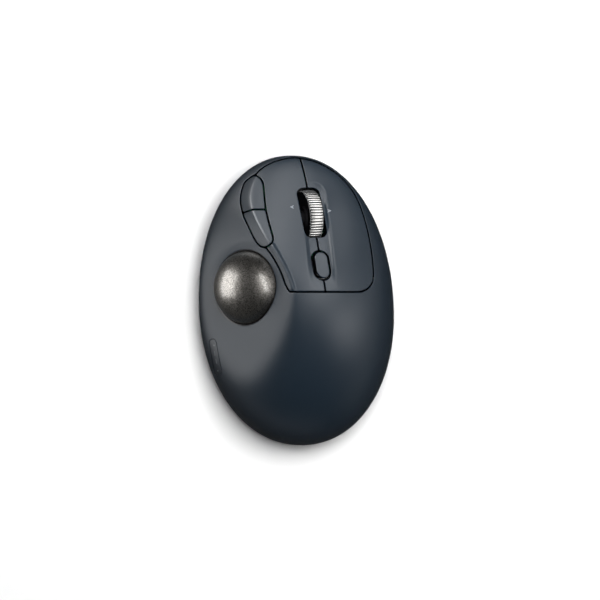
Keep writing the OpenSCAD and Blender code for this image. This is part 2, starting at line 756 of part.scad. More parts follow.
// ============================ Underside controls ============================
module power_slider() {
    color(dark_plastic) translate([slider_at[0], slider_at[1], 0]) {
        translate([-2, -1.5, base_z + 0.3]) cube([4, 3, 2]);
        translate([-3, -2.8, floor_z + 0.05]) cube([6, 5.6, 0.9]);
        translate([-0.7, -0.7, floor_z + 0.9]) cube([1.4, 1.4, 1.1]);
    }
}
module power_switch() {
    color(steel) translate([slider_at[0] - 4, slider_at[1] - 2, floor_z + 1.2]) difference() {
        cube([12, 4, 2.2]);
        translate([2.2, 0.9, -1]) cube([7.6, 2.2, 2.2]);
    }
}
module pairing_button() {
    color(dark_plastic) translate([pairing_at[0], pairing_at[1], 0]) {
        translate([0, 0, base_z + 0.3]) cylinder(h = 2, r = pairing_r);
        translate([0, 0, floor_z + 0.05]) cylinder(h = 0.8, r = pairing_r + 1);
    }
}
module pairing_switch() {
    color(dark_plastic) translate([pairing_at[0], pairing_at[1], floor_z + 1.5]) {
        cylinder(h = 1.2, r = 1);
        translate([-2.2, -2.2, 0.6]) cube([4.4, 4.4, 1.8]);
    }
}
// Puts a piece of the receiver at x from its left end, and centres its width w.
module in_bay(x, w, z) {
    translate([receiver_at[0] - receiver_l / 2 + x, receiver_at[1] - w / 2, z]) children();
}
module receiver_cap() {
    color(dark_plastic) in_bay(0, receiver_w, base_z + 0.3) cube([6.6, receiver_w, receiver_h]);
}
module receiver_plug() {
    color(steel) in_bay(6.6, 12, base_z + 1) difference() {
        cube([12, 12, 4.5]);
        translate([1, 0.4, 2.2]) cube([20, 11.2, 1.9]);
    }
}

// ============================ Output ============================
base_shell();
top_shell();
left_button();
right_button();
left_hinge();
right_hinge();
button_pivot_rod();
key_frame();
forward_button();
back_button();
side_switch_board();
side_switches();
speed_button();
speed_switch();
wheel_rim();
wheel_hub();
wheel_axle();
wheel_encoder();
tilt_cradle();
wheel_carriage();
tilt_switches();
scroll_mount();
wheel_click_switch();
trackball();
ball_cup();
ball_bearings();
sensor_lens();
sensor_module();
sensor_board();
main_board();
click_switches();
controller_chip();
usb_c_port();
usb_c_tongue();
battery();
battery_pad();
indicator_lens();
indicator_board();
indicator_leds();
power_slider();
power_switch();
pairing_button();
pairing_switch();
receiver_cap();
receiver_plug();
case_screws();
board_screws();
rubber_feet();
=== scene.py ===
import json
import math

import bmesh
import bpy
import numpy as np
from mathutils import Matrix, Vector, geometry


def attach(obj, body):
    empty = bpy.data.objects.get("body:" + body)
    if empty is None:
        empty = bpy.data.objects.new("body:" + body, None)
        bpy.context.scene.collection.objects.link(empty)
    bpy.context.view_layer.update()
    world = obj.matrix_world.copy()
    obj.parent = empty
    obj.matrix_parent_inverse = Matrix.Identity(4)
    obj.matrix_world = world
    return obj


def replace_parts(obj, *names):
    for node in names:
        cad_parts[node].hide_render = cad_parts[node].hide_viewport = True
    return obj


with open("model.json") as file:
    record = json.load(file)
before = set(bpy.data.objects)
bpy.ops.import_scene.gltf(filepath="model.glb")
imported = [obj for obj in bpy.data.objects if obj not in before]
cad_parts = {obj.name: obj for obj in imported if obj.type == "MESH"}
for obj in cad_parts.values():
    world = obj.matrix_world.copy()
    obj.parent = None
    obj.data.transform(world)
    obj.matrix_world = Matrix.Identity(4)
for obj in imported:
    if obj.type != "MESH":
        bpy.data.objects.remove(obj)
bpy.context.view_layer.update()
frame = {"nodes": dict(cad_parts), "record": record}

# The free-form casing is worked out in millimetres, as in the CAD source, and scaled to metres
# when a mesh is made. +X right, +Y to the fingers, +Z up.
MM = 0.001

# ---------------------------------------------------------------- the casing's skin
HALF_WIDTH = 43.8
NOSE_LENGTH = 68.4
HEEL_LENGTH = 61.8
CROWN = 37.6
WALL = 2.2
SEAM = 0.68
EGG_POWER = 2.08
EGG_Y = (HEEL_LENGTH - NOSE_LENGTH) / 2
EGG_SHEAR = 0.035
BASE_Z = 1.0
FLOOR_Z = BASE_Z + 1.8
PARTING_Z = 6.0
TUCK = 0.09
RIM_LOW = 11.5
FLANK_SPAN = 0.35


def ramp(t, k):
    """0 where t is negative and t where it is positive, with a soft bend about k wide."""
    return (t + np.sqrt(t * t + k * k)) / 2


def smooth(t):
    """A soft step from 0 to 1, as t goes from 0 to 1."""
    t = np.clip(t, 0, 1)
    return t * t * (3 - 2 * t)


def rim_z(v):
    """The height of the casing's widest line, the rim."""
    return RIM_LOW + 0.05 * ramp(v - 10, 20)


def crest_x(y):
    """Where the palm's crest lies: the skin falls away to its left."""
    return 3 - 0.72 * ramp(y - 7, 14) + 1.2 * ramp(y - 45, 8) - 0.6 * ramp(-14 - y, 12)


def crest_softness(y):
    """How wide the bend at the crest is."""
    return 1.0 + 0.55 * ramp(-10 - y, 8)


def channel(x, y):
    """The depth of the shallow channel that the wheel and the speed key lie in."""
    aside = x - (13.3 - 0.1 * y - 0.0002 * y * y)
    away = np.hypot(np.where(aside > 0, aside * 1.2, aside), np.maximum(0, y - 46.5))
    return 0.9 * smooth((y - 4) / 14) * (1 - smooth((away - 4.4) / 2.6))


def dish(x, y):
    """The depth of the hollow behind the ball."""
    return 4 * np.exp(-((x + 27) ** 2 + (y + 18) ** 2) / 25**2)


def canopy(x, y, u, v):
    """How far the skin would rise above the rim, if it did not round off towards it."""
    hump = (CROWN - 0.36 * ramp(v, 15)) * (1 - 0.25 * u / HALF_WIDTH)
    fold = 0.72 * ramp(crest_x(y) - x, crest_softness(y))
    return hump - fold - dish(x, y) - channel(x, y)


def egg_norm(u, v):
    """1 on the casing's widest outline, 0 at its centre."""
    length = np.where(v > 0, NOSE_LENGTH, HEEL_LENGTH)
    return (abs(u / HALF_WIDTH) ** EGG_POWER + abs(v / length) ** EGG_POWER) ** (1 / EGG_POWER)


def side_ridge(x, y):
    """How far the side keys stand above the skin: they fall away to both sides of a ridge."""
    d = y - 46.5
    line = -20.6 + 0.0285 * d * d + 0.00051 * d**3
    return np.maximum(-1, 1.1 - 0.19 * ramp(line - x, 0.04) - 0.1 * ramp(x - line, 0.04))


def skin_height(x, y):
    """The height of the upper skin. Outside the casing's outline it is the height of the rim."""
    v = y - EGG_Y
    u = x + EGG_SHEAR * v
    e = egg_norm(u, v) ** EGG_POWER
    return rim_z(v) + np.sqrt(np.maximum(0, 1 - e)) * canopy(x, y, u, v)


# A chart flattens the whole skin: radius 1 is the rim, and the flank goes on beyond it.
def to_chart(plan):
    """Points of the chart for plan points on the upper skin."""
    v = plan[:, 1] - EGG_Y
    u = plan[:, 0] + EGG_SHEAR * v
    t = np.clip(egg_norm(u, v), 1e-9, 1)
    stretch = np.arcsin(t) * 2 / np.pi / t
    return np.stack([u * stretch, v * stretch], 1)


def from_chart(chart):
    """Points of the skin for points of the chart."""
    psi = np.maximum(egg_norm(chart[:, 0], chart[:, 1]), 1e-9)
    t = np.sin(np.minimum(psi, 1) * np.pi / 2)
    u, v = (chart * (t / psi)[:, None]).T
    x, y = u - EGG_SHEAR * v, v + EGG_Y
    z = rim_z(v) + np.sqrt(np.maximum(0, 1 - t**EGG_POWER)) * canopy(x, y, u, v)
    f = np.clip((psi - 1) / FLANK_SPAN, 0, 1.2)
    tuck = 1 - TUCK * f**2.2
    return np.stack([x * tuck, EGG_Y + (y - EGG_Y) * tuck, z * (1 - f) + BASE_Z * f], 1)


def surface(chart, lift):
    """The skin raised by lift(x, y)."""
    points = from_chart(chart)
    points[:, 2] += lift(points[:, 0], points[:, 1])
    return points


def surface_normals(chart, lift):
    step = 0.02
    du = surface(chart + [step, 0], lift) - surface(chart - [step, 0], lift)
    dv = surface(chart + [0, step], lift) - surface(chart - [0, step], lift)
    n = np.cross(du, dv)
    return n / np.linalg.norm(n, axis=1)[:, None]


def flush(x, y):
    """No lift: the plate lies in the skin."""
    return 0 * x


# ---------------------------------------------------------------- the wheel's leaning frame
WHEEL_AT = np.array([5, 36.9, 23.3])
LEAN = math.radians(21)
YAW = math.radians(1.9)
WHEEL_R = 12.5
WHEEL_W = 6.4
SLOT_W = 10.4
SLOT_FRONT = 13.5
SLOT_REAR = 9.0
SLOT_CORNER = 3
SPEED_Y = -21.5
SPEED_L = 12.3
SPEED_W = 7.1

LEAN_X = np.array([math.cos(LEAN) * math.cos(YAW), math.cos(LEAN) * math.sin(YAW), -math.sin(LEAN)])
LEAN_Y = np.array([-math.sin(YAW), math.cos(YAW), 0])
LEAN_Z = np.cross(LEAN_X, LEAN_Y)


def hit_skin(start, direction, low, high):
    """Where the lines start + s * direction, with s from low to high, leave the casing."""
    a, b = np.full(len(start), float(low)), np.full(len(start), float(high))
    for _ in range(40):
        m = (a + b) / 2
        p = start + direction * m[:, None]
        inside = p[:, 2] < skin_height(p[:, 0], p[:, 1])
        a, b = np.where(inside, m, a), np.where(inside, b, m)
    return start + direction * a[:, None]


def lean_to_plan(points):
    """Plan points above the given (x, y) points of the leaning frame."""
    points = np.asarray(points, float)
    start = WHEEL_AT + points[:, :1] * LEAN_X + points[:, 1:] * LEAN_Y
    return hit_skin(start, LEAN_Z, -18, 45)[:, :2]


# ---------------------------------------------------------------- outlines
def spline(p, steps=10):
    """A smooth run through the points p, without its two end points."""
    p = np.asarray(p, float)
    t = np.arange(steps)[:, None] / steps
    run = []
    for a, b, c, d in zip(p, p[1:], p[2:], p[3:]):
        square = (2 * a - 5 * b + 4 * c - d) * t**2
        cube = (3 * b - a - 3 * c + d) * t**3
        run.append(0.5 * (2 * b + (c - a) * t + square + cube))
    return np.concatenate(run)


def arc(x, y, r, first, last, step=5):
    a = np.radians(np.linspace(first, last, int(abs(last - first) / step) + 1))
    return np.stack([x + r * np.cos(a), y + r * np.sin(a)], 1)


def half_slot(side, l, w, y, r):
    """One side of a slot, l long and w wide round (0, y), with corners of radius r, from rear to front."""
    rear = arc(w / 2 - r, y - l / 2 + r, r, -90, 0)
    front = arc(w / 2 - r, y + l / 2 - r, r, 0, 90)
    return np.concatenate([rear, front]) * [side, 1]


def slot_outline(l, w, y=0.0, r=None):
    r = w / 2 if r is None else r
    return np.concatenate([half_slot(1, l, w, y, r), half_slot(-1, l, w, y, r)[::-1]])


def turned(p, x, y, degrees=0):
    """The outline p, turned and then moved to x, y."""
    c, s = math.cos(math.radians(degrees)), math.sin(math.radians(degrees))
    return np.array([x, y]) + np.stack([p[:, 0] * c - p[:, 1] * s, p[:, 0] * s + p[:, 1] * c], 1)


def resample(p, step):
    """The closed outline p with its points step apart."""
    p = np.concatenate([p, p[:1]])
    s = np.concatenate([[0], np.cumsum(np.linalg.norm(np.diff(p, axis=0), axis=1))])
    at = np.linspace(0, s[-1], max(12, int(s[-1] / step)) + 1)[:-1]
    return np.stack([np.interp(at, s, p[:, 0]), np.interp(at, s, p[:, 1])], 1)


def round_off(p, radius, step=0.35):
    """The closed outline p with its corners rounded, by averaging along the outline."""
    p = resample(p, step)
    reach = max(1, int(round(radius / step)))
    for _ in range(2):
        p = sum(np.roll(p, k, 0) for k in range(-reach, reach + 1)) / (2 * reach + 1)
    return resample(p, step)


def outward(p):
    """Unit normals that point out of the closed counter-clockwise outline p."""
    t = np.roll(p, -1, 0) - np.roll(p, 1, 0)
    n = np.stack([t[:, 1], -t[:, 0]], 1)
    return n / np.linalg.norm(n, axis=1)[:, None]


def shifted(p, distance):
    """The outline p moved outwards, less where the skin is steep."""
    n = outward(p)
    rise = (skin_height(*(p + 0.2 * n).T) - skin_height(*(p - 0.2 * n).T)) / 0.4
    return p + n * (distance / np.sqrt(1 + np.clip(rise, -0.8, 0.8) ** 2))[:, None]


KEY_REAR_Y = 3.8
MAIN_FRONT = spline([
    [-19, 55], [-18.4, 56.4], [-15.3, 59.4], [-11, 61.8], [-6.9, 63.2], [-2.9, 64], [1, 64], [9.3, 62],
    [18, 57], [24, 50.9], [27.5, 45], [30.1, 38], [32.4, 29], [34, 19], [34.6, 10], [34.4, 3]
])
MAIN_LEFT = spline([
    [-1.9, 1.5], [-3.2, KEY_REAR_Y], [-4.9, 7], [-6.4, 11.2], [-8.4, 15.5], [-10.9, 19.8], [-13.9, 23.8],
    [-16, 26]
])
SIDE_RING = [
    [-19.3, 56], [-21.6, 54.5], [-23.4, 52.7], [-24.9, 48], [-25.1, 43.8], [-24.2, 39.5], [-23.4, 36.9],
    [-21.2, 32.2], [-19.1, 27.9], [-17.4, 25.3], [-15.6, 23.8], [-13.9, 23.6], [-12.2, 24.4], [-10.8, 25.8],
    [-10.3, 27.5], [-10.6, 29.2], [-12.3, 35], [-13.8, 42], [-14.5, 49], [-14.9, 52.2], [-15.6, 54],
    [-17.3, 55.6]
]
SIDE_LEFT, SIDE_RIGHT = np.split(spline([SIDE_RING[-1], *SIDE_RING, *SIDE_RING[:2]]), 2)
SIDE_SPLIT = np.array([[-26, 38.4], [-19.6, 40.6], [-5, 40.6]])
REAR_CORNER_R = 7


def cross(p, q):
    """The first crossing of the open polylines p and q: the point, and its place along each."""
    for i in range(len(p) - 1):
        for j in range(len(q) - 1):
            m = np.array([p[i + 1] - p[i], q[j] - q[j + 1]]).T
            if abs(np.linalg.det(m)) < 1e-12:
                continue
            s, t = np.linalg.solve(m, q[j] - p[i])
            if -1e-9 <= s <= 1 + 1e-9 and -1e-9 <= t <= 1 + 1e-9:
                return p[i] + s * (p[i + 1] - p[i]), i, j
    raise ValueError("the outlines do not cross")


def main_rim():
    """The outer edge of both main keys: from the middle of the rear edge, counter-clockwise."""
    corner = arc(34.5 - REAR_CORNER_R, KEY_REAR_Y + REAR_CORNER_R, REAR_CORNER_R, -90, 0)
    side = MAIN_FRONT[::-1]
    return np.concatenate([corner, side[side[:, 1] > KEY_REAR_Y + REAR_CORNER_R + 0.3]])


def centre_line(side):
    """The line between the main keys, from the rear to the front, round the side of both openings."""
    slot_l = SLOT_FRONT + SLOT_REAR - SEAM
    slot = half_slot(side, slot_l, SLOT_W - SEAM, (SLOT_FRONT - SLOT_REAR) / 2, SLOT_CORNER - SEAM / 2)
    speed = half_slot(side, SPEED_L + SEAM, SPEED_W + SEAM, SPEED_Y, (SPEED_W + SEAM) / 2)

    def straight(low, high):
        y = np.append(np.arange(low, high - 0.2, 0.7), high)
        return np.stack([0 * y, y], 1)
    parts = [straight(-38, speed[0, 1])[:-1], speed, straight(speed[-1, 1], slot[0, 1])[1:], slot,
             straight(slot[-1, 1], 30)]
    return lean_to_plan(np.concatenate(parts))


def key_outline(side):
    """A main key's outline, counter-clockwise, before the seam is taken off. side is -1 for the left key."""
    middle = centre_line(side)
    rim = main_rim()
    rear = np.array([[-20, KEY_REAR_Y], [40, KEY_REAR_Y]])
    low, i, _ = cross(middle, rear)
    high, j, k = cross(middle[::-1], rim)
    j = len(middle) - 1 - j
    if side < 0:
        left = np.concatenate([MAIN_LEFT, SIDE_RIGHT[SIDE_RIGHT[:, 0] > -18.4]])[::-1]
        return np.concatenate([[low], middle[i + 1:j], [high], rim[k + 1:], left])
    return np.concatenate([[low], rim[:k + 1], [high], middle[i + 1:j][::-1]])


def side_outline(front):
    """A side key's outline, counter-clockwise, before the seam is taken off."""
    right, i, _ = cross(SIDE_RIGHT, SIDE_SPLIT)
    left, j, _ = cross(SIDE_LEFT, SIDE_SPLIT)
    bend = SIDE_SPLIT[1:2]
    if front:
        return np.concatenate([[left], bend, [right], SIDE_RIGHT[i + 1:], SIDE_LEFT[:j + 1]])
    return np.concatenate([[right], bend, [left], SIDE_LEFT[j + 1:], SIDE_RIGHT[:i + 1]])


def keys_hole():
    """The outline round all the keys, where the casing is open."""
    return np.concatenate([main_rim(), SIDE_LEFT, MAIN_LEFT[::-1]])


# ---------------------------------------------------------------- meshes
def make_object(name, points, faces, body, material, normals=None):
    """A mesh object from points in millimetres. normals has one vector for each corner of each face."""
    mesh = bpy.data.meshes.new(name)
    mesh.from_pydata([tuple(p) for p in np.asarray(points) * MM], [], faces)
    mesh.validate()
    mesh.polygons.foreach_set("use_smooth", [True] * len(mesh.polygons))
    if normals is None:
        outward_faces(mesh)
        mesh.set_sharp_from_angle(angle=math.radians(32))
    else:
        mesh.normals_split_custom_set([tuple(n) for n in normals])
    obj = bpy.data.objects.new(name, mesh)
    bpy.context.scene.collection.objects.link(obj)
    mesh.materials.append(material)
    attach(obj, body)
    return obj


def outward_faces(mesh):
    bm = bmesh.new()
    bm.from_mesh(mesh)
    bmesh.ops.recalc_face_normals(bm, faces=bm.faces)
    bm.to_mesh(mesh)
    bm.free()


def loft(loops):
    """A closed shell through loops with equally many points, capped at both ends."""
    n = len(loops[0])
    faces = [tuple(range(n))[::-1], tuple(range((len(loops) - 1) * n, len(loops) * n))]
    for k in range(len(loops) - 1):
        for i in range(n):
            j = (i + 1) % n
            faces.append((k * n + i, k * n + j, (k + 1) * n + j, (k + 1) * n + i))
    return np.concatenate(loops), faces


def make_solid(name, shells, body, material):
    """One object from closed shells, each of them a pair of points and faces."""
    points, faces, first = [], [], 0
    for shell_points, shell_faces in shells:
        points.append(shell_points)
        faces += [tuple(i + first for i in f) for f in shell_faces]
        first += len(shell_points)
    return make_object(name, np.concatenate(points), faces, body, material)


def at_height(outline, z):
    return np.concatenate([outline, np.full((len(outline), 1), float(z))], 1)


def inside(points, outline):
    """Which points lie inside the closed outline."""
    x, y = points[:, 0], points[:, 1]
    hit = np.zeros(len(points), bool)
    for (ax, ay), (bx, by) in zip(outline, np.roll(outline, -1, 0)):
        if ay != by:
            hit ^= ((ay > y) != (by > y)) & (x < (bx - ax) * (y - ay) / (by - ay) + ax)
    return hit


def near(points, outline, distance):
    """Which points are closer to the outline's points than distance."""
    close = np.zeros(len(points), bool)
    for chunk in np.array_split(np.arange(len(points)), max(1, len(points) // 2000)):
        d = np.linalg.norm(points[chunk, None, :] - outline[None], axis=2)
        close[chunk] = d.min(1) < distance
    return close


def triangulate(outer, holes, spacing):
    """Points and triangles that fill outer less the holes evenly. The loops' points come first."""
    loops = [outer, *holes]
    low, high = outer.min(0), outer.max(0)
    rows = np.arange(low[1], high[1], spacing * 0.866)
    columns = np.arange(low[0], high[0], spacing)
    grid = np.concatenate([
        np.stack([columns + (i % 2) * spacing / 2, np.full(len(columns), y)], 1) for i, y in enumerate(rows)
    ])
    keep = inside(grid, outer)
    for hole in holes:
        keep &= ~inside(grid, hole)
    grid = grid[keep]
    for loop in loops:
        grid = grid[~near(grid, loop, spacing * 0.6)]
    points = np.concatenate([*loops, grid])
    edges, first = [], 0
    for loop in loops:
        n = len(loop)
        edges += [(first + i, first + (i + 1) % n) for i in range(n)]
        first += n
    verts, _, tris, origin, _, _ = geometry.delaunay_2d_cdt([Vector(p) for p in points], edges, [], 0, 1e-7)
    verts = np.array([tuple(v) for v in verts])
    where = np.full(len(points), -1)
    for new, old in enumerate(origin):
        for o in old:
            where[o] = new
    tris = np.array(tris)
    centres = verts[tris].mean(1)
    keep = inside(centres, outer)
    for hole in holes:
        keep &= ~inside(centres, hole)
    tris = tris[keep]
    a, b, c = verts[tris[:, 0]], verts[tris[:, 1]], verts[tris[:, 2]]
    area = (b[:, 0] - a[:, 0]) * (c[:, 1] - a[:, 1]) - (b[:, 1] - a[:, 1]) * (c[:, 0] - a[:, 0])
    tris[area < 0] = tris[area < 0][:, ::-1]
    tris = tris[abs(area) > 1e-9]
    return verts, tris, where, [len(loop) for loop in loops]


FILLET_STEPS = 5


class Edge:
    """One edge of a plate: its fillet loops in the chart, from the flat surface to the wall, which way the
    wall faces, and the fillet loop from which the faces are black as painted shade, if it has one."""

    def __init__(self, charts, drops, wall, painted_shade_from=None):
        self.charts, self.drops, self.wall, self.painted_shade_from = charts, drops, wall, painted_shade_from


def quarter(radius):
    """The steps round a fillet: the angle, the distance in from the wall and the depth."""
    for k in range(FILLET_STEPS + 1):
        a = math.radians(90 * k / FILLET_STEPS)
        yield a, radius * (1 - math.sin(a)), radius * (1 - math.cos(a))


def plan_edge(outline, radius, material_side):
    """The edge of a plate along a plan outline. material_side is -1 where the plate lies inside it."""
    steps = list(quarter(radius))
    charts = [to_chart(shifted(outline, material_side * back)) for _, back, _ in steps]
    n = outward(outline) * -material_side
    return Edge(charts, [drop for _, _, drop in steps], np.concatenate([n, np.zeros((len(n), 1))], 1))


def inward(points, normals):
    """The way from a plate's surface to its underside: down, but along the wheel's lean beside the wheel,
    along the normal on a steep flank and along the ball's axis round the ball."""
    way = np.tile([0, 0, 1.0], (len(points), 1))
    from_wheel = abs((points - WHEEL_AT) @ LEAN_X)
    from_ball = np.linalg.norm(np.cross(points - BALL_AT, BALL_AXIS), axis=1)
    for target, weight in (
        (LEAN_Z, (1 - smooth((from_wheel - 5.5) / 6)) * smooth((points[:, 1] + 4) / 8)),
        (normals, smooth((0.55 - normals[:, 2]) / 0.35)),
        (BALL_AXIS, 1 - smooth((from_ball - OPENING_R) / 8)),
    ):
        way = way * (1 - weight[:, None]) + target * weight[:, None]
    return -way / np.linalg.norm(way, axis=1)[:, None]


def sunk(points, normals, depth):
    """Points on the underside of a plate that is depth thick, for points on its surface."""
    way = inward(points, normals)
    slant = np.clip(-np.sum(way * normals, axis=1), 0.5, 1)
    return points + way * (depth / slant)[:, None]


def build_plate(name, outer, holes, spacing, body, material, lift=flush, depth=WALL):
    """A curved plate, lift above the skin, with filleted edges, side walls and an underside."""
    verts, tris, where, counts = triangulate(outer.charts[0], [h.charts[0] for h in holes], spacing)
    normals = surface_normals(verts, lift)
    top = surface(verts, lift)
    under = sunk(top, normals, depth)
    points, faces, corner, painted_shade_faces = [top, under], [], [], []
    n_flat = len(verts)
    for t in tris:
        faces.append(tuple(int(i) for i in t))
        corner += [normals[i] for i in t]
        back = t[::-1]
        faces.append(tuple(int(i) + n_flat for i in back))
        corner += [-normals[i] for i in back]
    total, first = 2 * n_flat, 0
    for e, edge in enumerate([outer, *holes]):
        n = counts[e]
        ring = where[first:first + n]
        first += n
        rings, ring_normals = [ring], [normals[ring]]
        for k in range(1, FILLET_STEPS + 1):
            a = math.radians(90 * k / FILLET_STEPS)
            skin = surface(edge.charts[k], lift)
            s = surface_normals(edge.charts[k], lift)
            points.append(skin - s * edge.drops[k])
            blend = s * math.cos(a) + edge.wall * math.sin(a)
            ring_normals.append(blend / np.linalg.norm(blend, axis=1)[:, None])
            rings.append(np.arange(total, total + n))
            total += n
        under[ring] = sunk(skin, s, depth)
        rings.append(ring + n_flat)
        ring_normals.append(ring_normals[-1])
        for k in range(len(rings) - 1):
            for i in range(n):
                j = (i + 1) % n
                quad = [(k, i), (k + 1, i), (k + 1, j), (k, j)]
                quad = quad[::-1] if e > 0 else quad
                if edge.painted_shade_from is not None and k >= edge.painted_shade_from:
                    painted_shade_faces.append(len(faces))
                faces.append(tuple(int(rings[r][c]) for r, c in quad))
                corner += [ring_normals[r][c] for r, c in quad]
    plate = make_object(name, np.concatenate(points), faces, body, material, corner)
    # Faces from the shade loop on are black plastic: painted shade in the gap round the ball's opening.
    if painted_shade_faces:
        plate.data.materials.append(BLACK)
        for f in painted_shade_faces:
            plate.data.polygons[f].material_index = 1
    return plate


# ---------------------------------------------------------------- materials
def node_material(name):
    """A new material, its node tree and its shader."""
    m = bpy.data.materials.new(name)
    m.use_nodes = True
    return m, m.node_tree, m.node_tree.nodes["Principled BSDF"]


def texture(tree, kind, **settings):
    """The outputs of a texture that is fixed to the piece. settings are values of its sockets."""
    pattern = tree.nodes.new(kind)
    for socket, value in settings.items():
        pattern.inputs[socket].default_value = value
    where = tree.nodes.new("ShaderNodeTexCoord")
    tree.links.new(where.outputs["Object"], pattern.inputs["Vector"])
    return pattern.outputs


def vary_colour(tree, shader, factor, low, high):
    mix = tree.nodes.new("ShaderNodeMix")
    mix.data_type = "RGBA"
    mix.inputs["A"].default_value = [*low, 1]
    mix.inputs["B"].default_value = [*high, 1]
    tree.links.new(factor, mix.inputs["Factor"])
    tree.links.new(mix.outputs["Result"], shader.inputs["Base Color"])


def vary_roughness(tree, shader, factor, low, high):
    spread = tree.nodes.new("ShaderNodeMapRange")
    spread.inputs["To Min"].default_value = low
    spread.inputs["To Max"].default_value = high
    tree.links.new(factor, spread.inputs["Value"])
    tree.links.new(spread.outputs["Result"], shader.inputs["Roughness"])


def add_bump(tree, shader, height, strength, distance):
    bump = tree.nodes.new("ShaderNodeBump")
    bump.inputs["Strength"].default_value = strength
    bump.inputs["Distance"].default_value = distance
    tree.links.new(height, bump.inputs["Height"])
    tree.links.new(bump.outputs["Normal"], shader.inputs["Normal"])


def moulded(name, colour, rough, grain=0.25, grain_scale=9000, tint=0.06):
    """Moulded plastic: fine spark-eroded grain, faint flow variation in colour and gloss."""
    m, tree, shader = node_material(name)
    cloud = texture(tree, "ShaderNodeTexNoise", Scale=60, Detail=3)["Fac"]
    vary_colour(tree, shader, cloud, [c * (1 - tint) for c in colour], [c * (1 + tint) for c in colour])
    fine = texture(tree, "ShaderNodeTexNoise", Scale=grain_scale, Detail=2)["Fac"]
    vary_roughness(tree, shader, fine, rough - 0.05, rough + 0.06)
    add_bump(tree, shader, fine, grain, 0.00002)
    return m


def metal(name, colour, rough):
    """Turned metal with faint cloudy variation in colour and gloss."""
    m, tree, shader = node_material(name)
    shader.inputs["Metallic"].default_value = 1
    cloud = texture(tree, "ShaderNodeTexNoise", Scale=700, Detail=3)["Fac"]
    vary_colour(tree, shader, cloud, [c * 0.92 for c in colour], [min(1, c * 1.05) for c in colour])
    vary_roughness(tree, shader, cloud, rough - 0.03, rough + 0.04)
    return m


def ball_paint(name):
    """Gunmetal lacquer with fine metal flakes under a clear coat."""
    m, tree, shader = node_material(name)
    flake = tree.nodes.new("ShaderNodeSeparateColor")
    cells = texture(tree, "ShaderNodeTexVoronoi", Scale=4200)["Color"]
    tree.links.new(cells, flake.inputs["Color"])
    vary_colour(tree, shader, flake.outputs["Red"], (0.08, 0.076, 0.072), (0.42, 0.40, 0.37))
    vary_roughness(tree, shader, flake.outputs["Green"], 0.28, 0.5)
    add_bump(tree, shader, flake.outputs["Blue"], 0.35, 0.00004)
    shader.inputs["Metallic"].default_value = 1
    shader.inputs["Coat Weight"].default_value = 0.5
    shader.inputs["Coat Roughness"].default_value = 0.12
    return m


CASING = moulded("casing_plastic", (0.0066, 0.0136, 0.0225), 0.40)
KEYS = moulded("key_plastic", (0.0078, 0.0156, 0.0255), 0.38)
BLACK = moulded("black_plastic", (0.007, 0.007, 0.008), 0.5)
GREY = moulded("grey_plastic", (0.06, 0.06, 0.065), 0.45)
WINDOW = moulded("smoked_window", (0.006, 0.011, 0.018), 0.36, grain=0.02, tint=0.02)
RUBBER = moulded("foot_rubber", (0.012, 0.012, 0.012), 0.75, grain=0.6, grain_scale=5000)
RIB_METAL = metal("rib_metal", (0.74, 0.73, 0.71), 0.24)
# Darker metal for the wheel's grooves: painted shade for the occlusion in them.
GROOVE_SHADE_METAL = metal("rib_groove_painted_shade", (0.13, 0.13, 0.13), 0.34)
STEEL = metal("plain_steel", (0.55, 0.56, 0.58), 0.35)
BALL = ball_paint("ball_lacquer")
MARK = moulded("printed_mark", (0.21, 0.23, 0.26), 0.5, grain=0.05)
FAINT_MARK = moulded("window_mark", (0.10, 0.11, 0.12), 0.5, grain=0.05)

# ---------------------------------------------------------------- casing and keys
BALL_AT = np.array([-20.3, 5.7, 25.6])
BALL_LOOK_R = 16.7
OPENING_R = 16.05
OPENING_AT = BALL_AT + [0, 0.5, 0]
BALL_TILT = math.radians(37.5)
BALL_TURN = math.radians(190)
BALL_AXIS = np.array([
    math.sin(BALL_TILT) * math.cos(BALL_TURN),
    math.sin(BALL_TILT) * math.sin(BALL_TURN),
    math.cos(BALL_TILT),
])
BALL_ACROSS = np.array([-math.sin(BALL_TURN), math.cos(BALL_TURN), 0])
BALL_DOWN = np.cross(BALL_ACROSS, BALL_AXIS)


def collar(x, y):
    """The hollow round the front and the inner side of the ball's opening."""
    dx, dy = x - BALL_AT[0], y - BALL_AT[1]
    away = np.hypot(dx * 1.12, dy)
    side = smooth(0.5 + 0.8 * (dx * 0.5 + dy * 0.87) / np.maximum(away, 1))
    return -1.1 * side * (1 - smooth((away - 15) / 8))


def ring_points(r, n=260):
    """The skin's points whose place under the collar is at the distance r from the opening's axis."""
    a = np.radians(np.arange(n) * 360 / n)[:, None]
    around = BALL_DOWN * np.cos(a) + BALL_ACROSS * np.sin(a)
    reach = np.full((n, 1), float(r))
    for _ in range(4):
        points = hit_skin(OPENING_AT + around * reach, BALL_AXIS[None], -12, 24)
        sunken = surface(to_chart(points[:, :2]), collar)
        away = np.linalg.norm(np.cross(sunken - OPENING_AT, BALL_AXIS), axis=1)
        reach += r - away[:, None]
    return points, around


def ball_edge(radius):
    charts, drops = [], []
    for _, back, drop in quarter(radius):
        points, around = ring_points(OPENING_R + back)
        charts.append(to_chart(points[:, :2]))
        drops.append(drop)
    # Black from the first fillet loop on: painted shade for the gap round the ball.
    return Edge(charts, drops, -around, painted_shade_from=1)


# The window's place and its turn in degrees.
LENS_AT = (-36.3, -25.4, 11)
LENS_L = 16.6
LENS_W = 3.4
LENS_GAP = 0.12
LENS_DROP = 0.05
CASING_FILLET = 0.3
OPENING_FILLET = 1.2
KEY_FILLET = 0.3
KEY_DEPTH = 1.2
SIDE_KEY_FILLET = 0.35
SPEED_KEY_FILLET = 0.55
SPEED_KEY_RISE = 0.3


def lens_outline(margin):
    return turned(slot_outline(LENS_L + 2 * margin, LENS_W + 2 * margin), *LENS_AT)


